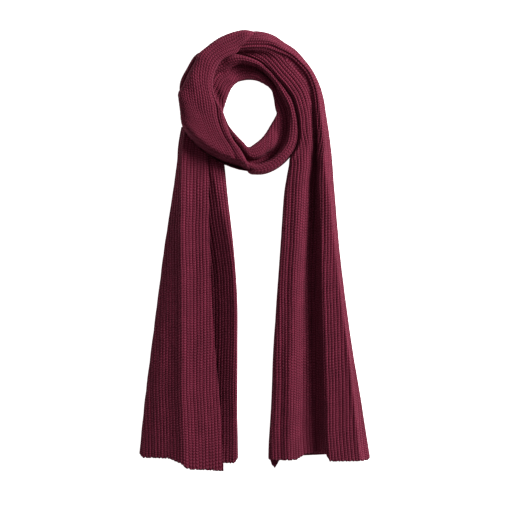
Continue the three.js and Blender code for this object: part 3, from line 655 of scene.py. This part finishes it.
def left_sections(knit):
    """Outer lines of the left end: from the free edge on top over the crest, round the left fold,
    along the floor, over the rim at the right fold and in again under the top layer."""
    def middle(rows):
        return np.column_stack(((rows[:, 1] + rows[:, 4]) / 2, rows[:, 0]))

    crest_knot, last_top_knot, floor_knot, rim_knot = 4, 7, 9, 12
    places, along = row_places(LEFT_END, middle, HEM_ROUND * np.array(HEM_STEPS))
    rows = smooth_rows(LEFT_END, places)
    second = knit.wall * 2 + LAYER_GAP
    built = []
    for y, left, crest, lip, right, z_crest, z_lip, z_rim, rim in rows:
        slope = crest - left
        drop = right - rim - RIM_EDGE
        fall = min(RIM_FALL, (drop - crest - UNDER_CREST) * RIM_FALL_SHARE)
        knots = [(lip, z_lip), (lip - 0.006, z_lip + 0.0006),
                 ((lip + crest) / 2, (z_lip + z_crest) / 2 - 0.0012), (crest + 0.007, z_crest - 0.0008),
                 (crest, z_crest), (crest - slope * 0.25, z_crest * 0.80),
                 (left + slope * 0.25, z_crest * 0.46), (left, z_crest * 0.24), (left + 0.005, 0.0),
                 ((left + right) / 2, 0.0), (right - FOLD_SIDE, 0.0), (right, z_rim * 0.5),
                 (right - 0.0008, z_rim * 0.9), (drop, z_rim),
                 (drop - fall * 0.3, z_rim * 0.7 + second * 0.3),
                 (drop - fall * 0.65, z_rim * 0.32 + second * 0.68),
                 (drop - fall, second), (crest + UNDER_CREST, second)]
        line = curve(np.array(knots))
        built.append((line, run_of(line)[::CURVE_PIECES], y))
    hem_reach = built[-1][1][rim_knot] - built[-1][1][crest_knot]
    sections = []
    for line, run, y in built:
        steady, turn = run[crest_knot], run[floor_knot]
        shift = hem_reach - (run[rim_knot] - steady)

        def drift(run, turn=turn, shift=shift):
            return shift * np.clip((run - turn) / 0.03 + 0.5, 0, 1)

        def put(d, y=y):
            return np.column_stack((d, np.full(len(d), y)))

        sections.append((line, steady, drift, put, (-1.0, run[last_top_knot])))
    return sections, along


def group_tree(name, inputs, outputs):
    """An empty shader group with named number inputs and outputs, and its two ends."""
    tree = bpy.data.node_groups.new(name, 'ShaderNodeTree')
    for label, kind, default in inputs:
        socket = tree.interface.new_socket(name=label, in_out='INPUT', socket_type=kind)
        if default is not None:
            socket.default_value = default
    for label, kind in outputs:
        tree.interface.new_socket(name=label, in_out='OUTPUT', socket_type=kind)
    return tree, tree.nodes.new('NodeGroupInput'), tree.nodes.new('NodeGroupOutput')


def math_node(tree, operation, *values):
    """A Math node fed with sockets or plain numbers; returns its value."""
    node = tree.nodes.new('ShaderNodeMath')
    node.operation = operation
    for slot, value in zip(node.inputs, values):
        if isinstance(value, bpy.types.NodeSocket):
            tree.links.new(value, slot)
        else:
            slot.default_value = value
    return node.outputs[0]


def ramp(tree, value, low, high, start=0.0, end=1.0):
    """Smooth step of a value from start at low to end at high."""
    node = tree.nodes.new('ShaderNodeMapRange')
    node.interpolation_type = 'SMOOTHSTEP'
    for label, number in (("From Min", low), ("From Max", high), ("To Min", start), ("To Max", end)):
        node.inputs[label].default_value = number
    tree.links.new(value, node.inputs["Value"])
    return node.outputs[0]


def noise(tree, vector, scale, detail=2.0, roughness=0.5):
    """A Noise texture's factor."""
    node = tree.nodes.new('ShaderNodeTexNoise')
    node.inputs["Scale"].default_value = scale
    node.inputs["Detail"].default_value = detail
    node.inputs["Roughness"].default_value = roughness
    tree.links.new(vector, node.inputs["Vector"])
    return node.outputs["Fac"]


def stitch_group():
    """Masks of a rib's V-shaped stitches from knit coordinates: x counts ribs, y counts courses."""
    name = "Rib stitches"
    if name in bpy.data.node_groups:
        return bpy.data.node_groups[name]
    tree, start, end = group_tree(
        name, [("Knit", 'NodeSocketVector', None), ("Lean", 'NodeSocketFloat', 0.5)],
        [("Height", 'NodeSocketFloat'), ("Groove", 'NodeSocketFloat'), ("Gap", 'NodeSocketFloat')])
    split = tree.nodes.new('ShaderNodeSeparateXYZ')
    tree.links.new(start.outputs["Knit"], split.inputs[0])
    centred = math_node(tree, 'SUBTRACT', math_node(tree, 'FRACT', math_node(
        tree, 'ADD', split.outputs[0], 0.5)), 0.5)
    off = math_node(tree, 'MULTIPLY', math_node(tree, 'ABSOLUTE', centred), 2.0)
    leaning = math_node(tree, 'MULTIPLY', off, start.outputs["Lean"])
    turn = math_node(tree, 'MULTIPLY', math_node(tree, 'ADD', split.outputs[1], leaning), HALF_WAVE)
    leg = math_node(tree, 'POWER', math_node(tree, 'ABSOLUTE', math_node(tree, 'SINE', turn)), 0.7)
    middle = ramp(tree, off, 0.0, 0.22, 0.45, 1.0)
    shoulder = ramp(tree, off, 0.55, 1.0, 1.0, 0.25)
    height = math_node(tree, 'MULTIPLY', math_node(tree, 'MULTIPLY', leg, middle), shoulder)
    tree.links.new(height, end.inputs["Height"])
    tree.links.new(ramp(tree, off, 0.45, 1.0), end.inputs["Groove"])
    tree.links.new(math_node(tree, 'SUBTRACT', 1.0, math_node(tree, 'MULTIPLY', leg, middle)),
                   end.inputs["Gap"])
    return tree


def fibre_group():
    """Fine wool fibre and slow shade changes of the yarn over the surface."""
    name = "Wool fibre"
    if name in bpy.data.node_groups:
        return bpy.data.node_groups[name]
    tree, start, end = group_tree(
        name, [("Position", 'NodeSocketVector', None), ("Knit", 'NodeSocketVector', None)],
        [("Fibre", 'NodeSocketFloat'), ("Shade", 'NodeSocketFloat'), ("Streak", 'NodeSocketFloat')])
    position = start.outputs["Position"]
    tree.links.new(noise(tree, position, FIBRE_SCALE, 3.0, 0.65), end.inputs["Fibre"])
    tree.links.new(noise(tree, position, SHADE_SCALE, 3.0, 0.5), end.inputs["Shade"])
    stretch = tree.nodes.new('ShaderNodeVectorMath')
    stretch.operation = 'MULTIPLY'
    stretch.inputs[1].default_value = STREAK_STRETCH
    tree.links.new(start.outputs["Knit"], stretch.inputs[0])
    tree.links.new(noise(tree, stretch.outputs[0], 1.0, 2.0, 0.6), end.inputs["Streak"])
    return tree


def mix_colour(tree, factor, a, b, blend='MIX'):
    """A colour Mix node; a and b are sockets or colours."""
    node = tree.nodes.new('ShaderNodeMix')
    node.data_type = 'RGBA'
    node.blend_type = blend
    factor_in, a_in, b_in = (node.inputs[i] for i in (0, 6, 7))
    for value, slot in ((factor, factor_in), (a, a_in), (b, b_in)):
        if isinstance(value, bpy.types.NodeSocket):
            tree.links.new(value, slot)
        else:
            slot.default_value = value
    return node.outputs[2]


def knit_material():
    """Brushed wool rib knit: V stitches along each rib, painted shade in the grooves and between the
    stitches, a painted highlight on the stitch tops, soft fibre and sheen.
    """
    name = "Burgundy rib knit"
    if name in bpy.data.materials:
        return bpy.data.materials[name]
    knit = bpy.context.scene.scarf_knit
    material = bpy.data.materials.new(name)
    material.use_nodes = True
    tree = material.node_tree
    shader = tree.nodes["Principled BSDF"]
    uv = tree.nodes.new('ShaderNodeUVMap')
    uv.uv_map = "Knit"
    stitches = tree.nodes.new('ShaderNodeGroup')
    stitches.node_tree = stitch_group()
    tree.links.new(uv.outputs[0], stitches.inputs["Knit"])
    place = tree.nodes.new('ShaderNodeTexCoord')
    fibre = tree.nodes.new('ShaderNodeGroup')
    fibre.node_tree = fibre_group()
    tree.links.new(place.outputs["Object"], fibre.inputs["Position"])
    tree.links.new(uv.outputs[0], fibre.inputs["Knit"])
    yarn, groove = tuple(knit.yarn) + (1.0,), tuple(knit.groove) + (1.0,)
    # Painted shade: grooves between ribs and gaps between stitches are mixed towards the darker groove
    # colour
    painted_gap_shade = math_node(tree, 'MULTIPLY', stitches.outputs["Gap"], GAP_SHADE)
    beside = math_node(tree, 'MULTIPLY', stitches.outputs["Groove"], GROOVE_SHADE)
    depth = math_node(tree, 'MAXIMUM', beside, painted_gap_shade)
    # Painted highlight: the highest points of each stitch are mixed towards a paler colour
    top_highlight = ramp(tree, stitches.outputs["Height"], 0.5, 1.0, 0.0, TOP_HIGHLIGHT_SHARE)
    colour = mix_colour(tree, top_highlight, mix_colour(tree, depth, yarn, groove), TOP_HIGHLIGHT_COLOUR)
    shade = ramp(tree, fibre.outputs["Shade"], 0.3, 0.7, *SHADE_RANGE)
    fine = ramp(tree, fibre.outputs["Fibre"], 0.25, 0.75, *FIBRE_RANGE)
    streak = ramp(tree, fibre.outputs["Streak"], 0.3, 0.7, *STREAK_RANGE)
    scale = math_node(tree, 'MULTIPLY', math_node(tree, 'MULTIPLY', shade, fine), streak)
    lit = tree.nodes.new('ShaderNodeVectorMath')
    lit.operation = 'SCALE'
    tree.links.new(colour, lit.inputs[0])
    tree.links.new(scale, lit.inputs["Scale"])
    tree.links.new(lit.outputs[0], shader.inputs["Base Color"])
    height = math_node(tree, 'ADD', stitches.outputs["Height"],
                       math_node(tree, 'MULTIPLY', fibre.outputs["Fibre"], FIBRE_HEIGHT))
    bump = tree.nodes.new('ShaderNodeBump')
    bump.inputs["Strength"].default_value = BUMP_STRENGTH
    bump.inputs["Distance"].default_value = BUMP_DISTANCE
    tree.links.new(height, bump.inputs["Height"])
    tree.links.new(bump.outputs[0], shader.inputs["Normal"])
    rough = ramp(tree, fibre.outputs["Fibre"], 0.2, 0.8, *ROUGHNESS_RANGE)
    tree.links.new(rough, shader.inputs["Roughness"])
    shader.inputs["Specular IOR Level"].default_value = 0.10
    shader.inputs["Sheen Weight"].default_value = 0.08
    shader.inputs["Sheen Roughness"].default_value = 0.45
    shader.inputs["Sheen Tint"].default_value = SHEEN_TINT
    return material


def finish_piece(piece, nodes):
    """What every stretch is to the frame: it stands for its solids, which are hidden, and is parented to
    the root body.
    """
    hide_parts(*nodes)
    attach(piece, "root")


# Main creases of each stretch: x, y of both ends, half width, height
LEFT_CREASES = ((-0.0930, 0.1300, -0.0880, -0.1200, 0.0090, -0.0011),
                (-0.0800, 0.0200, -0.0760, -0.2600, 0.0080, 0.0009),
                (-0.0950, -0.0900, -0.0900, -0.3100, 0.0080, -0.0010),
                (-0.1330, -0.0500, -0.1490, -0.2900, 0.0090, 0.0012),
                (-0.1240, -0.1200, -0.1280, -0.3100, 0.0070, -0.0009))
INNER_CREASES = ((-0.0440, 0.2620, 0.0120, 0.2750, 0.0060, -0.0040),
                 (-0.0600, 0.2450, -0.0470, 0.2120, 0.0060, -0.0040),
                 (0.0450, 0.2250, 0.0560, 0.1800, 0.0050, -0.0008),
                 (0.0080, 0.1300, 0.0400, 0.1420, 0.0050, 0.0009))
FRONT_CREASES = ((-0.1000, 0.2300, -0.0450, 0.1500, 0.0100, -0.0012),
                 (-0.0950, 0.2600, -0.0700, 0.2150, 0.0090, 0.0010),
                 (-0.0780, 0.2930, -0.0500, 0.3100, 0.0080, -0.0010),
                 (-0.0700, 0.2650, -0.0520, 0.2120, 0.0060, -0.0009))
RIGHT_CREASES = ((0.0560, 0.1100, 0.0480, -0.1400, 0.0090, -0.0011),
                 (0.0640, -0.0300, 0.0600, -0.2900, 0.0080, 0.0010),
                 (0.0420, -0.1500, 0.0400, -0.3100, 0.0070, -0.0009),
                 (0.1350, -0.1000, 0.1443, -0.2090, 0.0034, 0.0025),
                 (0.1440, -0.1950, 0.1573, -0.3120, 0.0036, 0.0025),
                 (0.1130, 0.0600, 0.1210, -0.1000, 0.0060, -0.0010),
                 (0.1250, -0.2000, 0.1290, -0.3050, 0.0070, -0.0009),
                 (0.0620, 0.2560, 0.0830, 0.2200, 0.0050, 0.0008))


class SCARF_OT_left_end(bpy.types.Operator):
    """Left end: two lit panels over a crest, the under layer showing beside them"""
    bl_idname = "scarf.left_end"
    bl_label = "Left end"

    def execute(self, context):
        knit = context.scene.scarf_knit
        piece = build_folded("left_end", *left_sections(knit), LEFT_HEM, LEFT_LOWER_HEM,
                             LEFT_CREASES, seed=3, knit=knit)
        finish_piece(piece, ("left_tail",))
        return {'FINISHED'}


class SCARF_OT_inner_turn(bpy.types.Operator):
    """Turn next to the neck, in two rolls with a trough between them"""
    bl_idname = "scarf.inner_turn"
    bl_label = "Inner turn"

    def execute(self, context):
        turn = rolled_turn(INNER_TURN, 0, floor_rest)
        piece = build_rolled("neck_turn", turn, INNER_CREASES, seed=5, knit=context.scene.scarf_knit)
        finish_piece(piece, ("inner_turn",))
        return {'FINISHED'}


class SCARF_OT_front_turn(bpy.types.Operator):
    """Broad turn on top at the left, resting on the inner turn and on the left end"""
    bl_idname = "scarf.front_turn"
    bl_label = "Front turn"

    def execute(self, context):
        turn = rolled_turn(FRONT_TURN, 1, solid_rest("front_turn"), round_start=(0.016, 0.010),
                           round_end=(0.018, 0.011))
        piece = build_rolled("broad_turn", turn, FRONT_CREASES, seed=8, knit=context.scene.scarf_knit)
        finish_piece(piece, ("front_turn",))
        return {'FINISHED'}


class SCARF_OT_right_side(bpy.types.Operator):
    """Turn over the right shoulder and right end, an outer fold over an inner one"""
    bl_idname = "scarf.right_side"
    bl_label = "Right side"

    def execute(self, context):
        knit = context.scene.scarf_knit
        piece = build_folded("right_side", *right_sections(knit), RIGHT_HEM, RIGHT_LOWER_HEM,
                             RIGHT_CREASES, seed=13, knit=knit)
        finish_piece(piece, ("over_turn", "right_tail"))
        return {'FINISHED'}


def softbox(name, power, size, place, aim):
    """Square area light at a place, turned towards a point."""
    light = bpy.data.lights.new(name, 'AREA')
    light.energy = power
    light.size = size
    lamp = bpy.data.objects.new(name, light)
    lamp.location = place
    lamp.rotation_euler = (Vector(aim) - Vector(place)).to_track_quat('-Z', 'Y').to_euler()
    bpy.context.scene.collection.objects.link(lamp)


class SCARF_OT_stage(bpy.types.Operator):
    """Pale floor, soft studio light and a camera straight above"""
    bl_idname = "scarf.stage"
    bl_label = "Stage"

    def execute(self, context):
        scene, stage = context.scene, context.scene.scarf_stage
        half = FLOOR_HALF
        mesh = bpy.data.meshes.new("floor")
        mesh.from_pydata([(-half, -half, 0), (half, -half, 0), (half, half, 0), (-half, half, 0)], [],
                         [(0, 1, 2, 3)])
        floor = bpy.data.objects.new("floor", mesh)
        floor.location.z = -FLOOR_DROP
        scene.collection.objects.link(floor)
        paper = bpy.data.materials.new("White paper")
        paper.use_nodes = True
        shader = paper.node_tree.nodes["Principled BSDF"]
        shader.inputs["Base Color"].default_value = tuple(stage.floor) + (1.0,)
        shader.inputs["Roughness"].default_value = 0.9
        shader.inputs["Emission Color"].default_value = WHITE
        shader.inputs["Emission Strength"].default_value = stage.glow
        mesh.materials.append(paper)
        softbox("key", stage.key_power, SOFTBOX_SIZE, KEY_PLACE, (0, 0, 0))
        world = bpy.data.worlds.new("studio")
        world.use_nodes = True
        background = world.node_tree.nodes["Background"]
        background.inputs["Color"].default_value = WHITE
        background.inputs["Strength"].default_value = stage.sky
        scene.world = world
        scene.view_settings.view_transform = 'Standard'
        data = bpy.data.cameras.new("camera")
        data.lens = stage.lens
        camera = bpy.data.objects.new("camera", data)
        camera.location = (PHOTO_CENTRE[0], PHOTO_CENTRE[1], stage.camera_height)
        scene.collection.objects.link(camera)
        scene.camera = camera
        return {'FINISHED'}


class SCARF_PT_panel(bpy.types.Panel):
    """Sizes of the knit and one button for each stretch"""
    bl_label = "Rib-knit scarf"
    bl_idname = "SCARF_PT_panel"
    bl_space_type = 'VIEW_3D'
    bl_region_type = 'UI'
    bl_category = "Scarf"

    def draw(self, context):
        for settings in (context.scene.scarf_knit, context.scene.scarf_stage):
            box = self.layout.box()
            for label in settings.__annotations__:
                box.prop(settings, label)
        for operator in OPERATORS:
            self.layout.operator(operator.bl_idname)


OPERATORS = (SCARF_OT_left_end, SCARF_OT_inner_turn, SCARF_OT_front_turn, SCARF_OT_right_side,
             SCARF_OT_stage)
CLASSES = (ScarfKnit, ScarfStage) + OPERATORS + (SCARF_PT_panel,)


def register():
    for cls in CLASSES:
        bpy.utils.register_class(cls)
    bpy.types.Scene.scarf_knit = bpy.props.PointerProperty(type=ScarfKnit)
    bpy.types.Scene.scarf_stage = bpy.props.PointerProperty(type=ScarfStage)


def unregister():
    del bpy.types.Scene.scarf_knit
    del bpy.types.Scene.scarf_stage
    for cls in reversed(CLASSES):
        bpy.utils.unregister_class(cls)


def main():
    """Builds everything in order."""
    register()
    bpy.ops.scarf.left_end()
    bpy.ops.scarf.inner_turn()
    bpy.ops.scarf.front_turn()
    bpy.ops.scarf.right_side()
    bpy.ops.scarf.stage()


if __name__ == "__main__":
    main()
